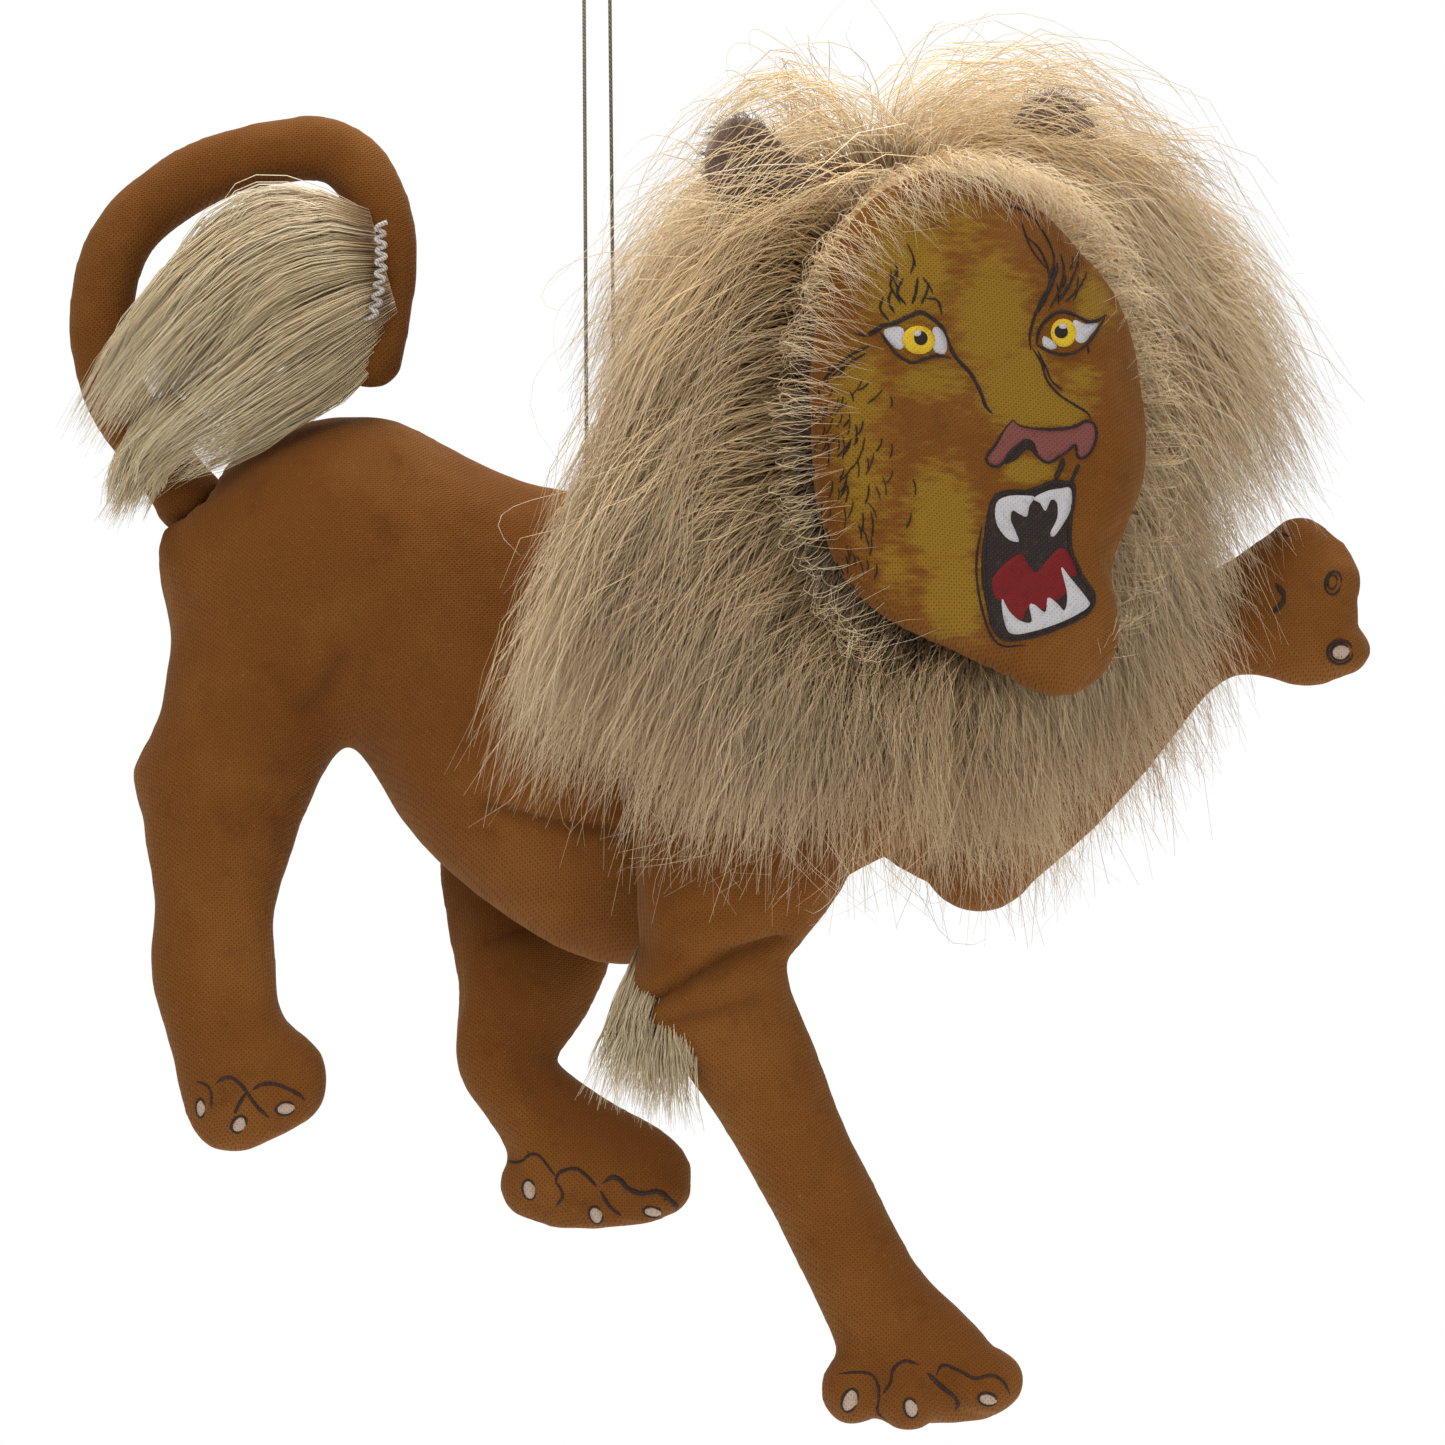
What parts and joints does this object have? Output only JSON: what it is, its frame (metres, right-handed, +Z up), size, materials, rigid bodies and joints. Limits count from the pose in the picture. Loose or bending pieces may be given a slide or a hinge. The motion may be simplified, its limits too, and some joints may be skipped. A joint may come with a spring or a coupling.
{
  "type": "cloth lion marionette",
  "caption": "Hand-sewn stuffed cloth lion with a fur mane and curled tail, striding, hung from a doubled thread at its back.",
  "frame": {"origin": "seat of the hanging loop, where a hook carries the figure", "axes": "+Z up, +X the way the lion strides, -Y towards its right side"},
  "size_m": [0.1417, 0.0589, 0.1578],
  "materials": {
    "tan_cotton": "dyed rust-brown plain-weave cotton",
    "painted_face_cotton": "same cotton with fabric paint and ink",
    "stuffing": "white polyester fibre",
    "mohair_pile": "long wavy pale mohair",
    "knit_backing": "knitted fur backing",
    "ear_felt": "grey-brown felt",
    "wire": "bare annealed wire",
    "sewing_thread": "pale sewing thread",
    "waxed_thread": "waxed brown thread",
    "hanging_thread": "twisted olive-bronze thread"
  },
  "bodies": {
    "torso": {"torso_skin": "tan_cotton", "torso_filling": "stuffing", "left_hip_tie": "waxed_thread", "right_upper_arm_skin": "tan_cotton", "right_upper_arm_filling": "stuffing", "left_upper_arm_skin": "tan_cotton", "left_upper_arm_filling": "stuffing", "ruff_backing": "knit_backing", "ruff_pile": "mohair_pile", "suspension_thread": "hanging_thread", "right_thread_knot": "hanging_thread", "left_thread_knot": "hanging_thread"},
    "right_hind_leg": {"right_hind_leg_skin": "tan_cotton", "right_hind_leg_filling": "stuffing"},
    "left_hind_leg": {"left_hind_leg_skin": "tan_cotton", "left_hind_leg_filling": "stuffing"},
    "right_forearm": {"right_forearm_skin": "tan_cotton", "right_forearm_filling": "stuffing", "elbow_tuft": "mohair_pile"},
    "left_forearm": {"left_forearm_skin": "tan_cotton", "left_forearm_filling": "stuffing"},
    "neck": {"neck_skin": "tan_cotton", "neck_filling": "stuffing"},
    "head": {"head_skin": "tan_cotton", "head_filling": "stuffing", "face_skin": "painted_face_cotton", "face_filling": "stuffing", "mane_backing": "knit_backing", "mane_pile": "mohair_pile", "right_ear": "ear_felt", "left_ear": "ear_felt"},
    "tail": {"tail_skin": "tan_cotton", "tail_filling": "stuffing", "tail_wire": "wire", "tail_tuft_backing": "knit_backing", "tail_tuft": "mohair_pile", "tail_tuft_stitches": "sewing_thread"}
  },
  "joints": [
    {"name": "right_hip_fold", "type": "hinge", "parent": "torso", "child": "right_hind_leg", "pos_m": [-0.04089, 0, -0.0876], "axis": [0, -1, 0], "range_deg": [-12, 12]},
    {"name": "left_hip_swing", "type": "hinge", "parent": "torso", "child": "left_hind_leg", "pos_m": [-0.007, 0.013, -0.089], "axis": [0, -1, 0], "range_deg": [-15, 15]},
    {"name": "right_elbow_bend", "type": "hinge", "parent": "torso", "child": "right_forearm", "pos_m": [0.0124, -0.013, -0.1102], "axis": [0, -1, 0], "range_deg": [-18, 18]},
    {"name": "left_elbow_bend", "type": "hinge", "parent": "torso", "child": "left_forearm", "pos_m": [0.0419, 0.013, -0.0959], "axis": [0, -1, 0], "range_deg": [-10, 12]},
    {"name": "neck_turn", "type": "hinge", "parent": "torso", "child": "neck", "pos_m": [0.025, -0.001, -0.067], "axis": [0, 0, 1], "range_deg": [-8, 8]},
    {"name": "head_nod", "type": "hinge", "parent": "neck", "child": "head", "pos_m": [0.025, -0.001, -0.067], "axis": [0.9063, 0.4226, 0], "range_deg": [-6, 6]},
    {"name": "tail_wag", "type": "hinge", "parent": "torso", "child": "tail", "pos_m": [-0.04427, 0, -0.0578], "axis": [1, 0, 0], "range_deg": [-15, 15]}
  ]
}
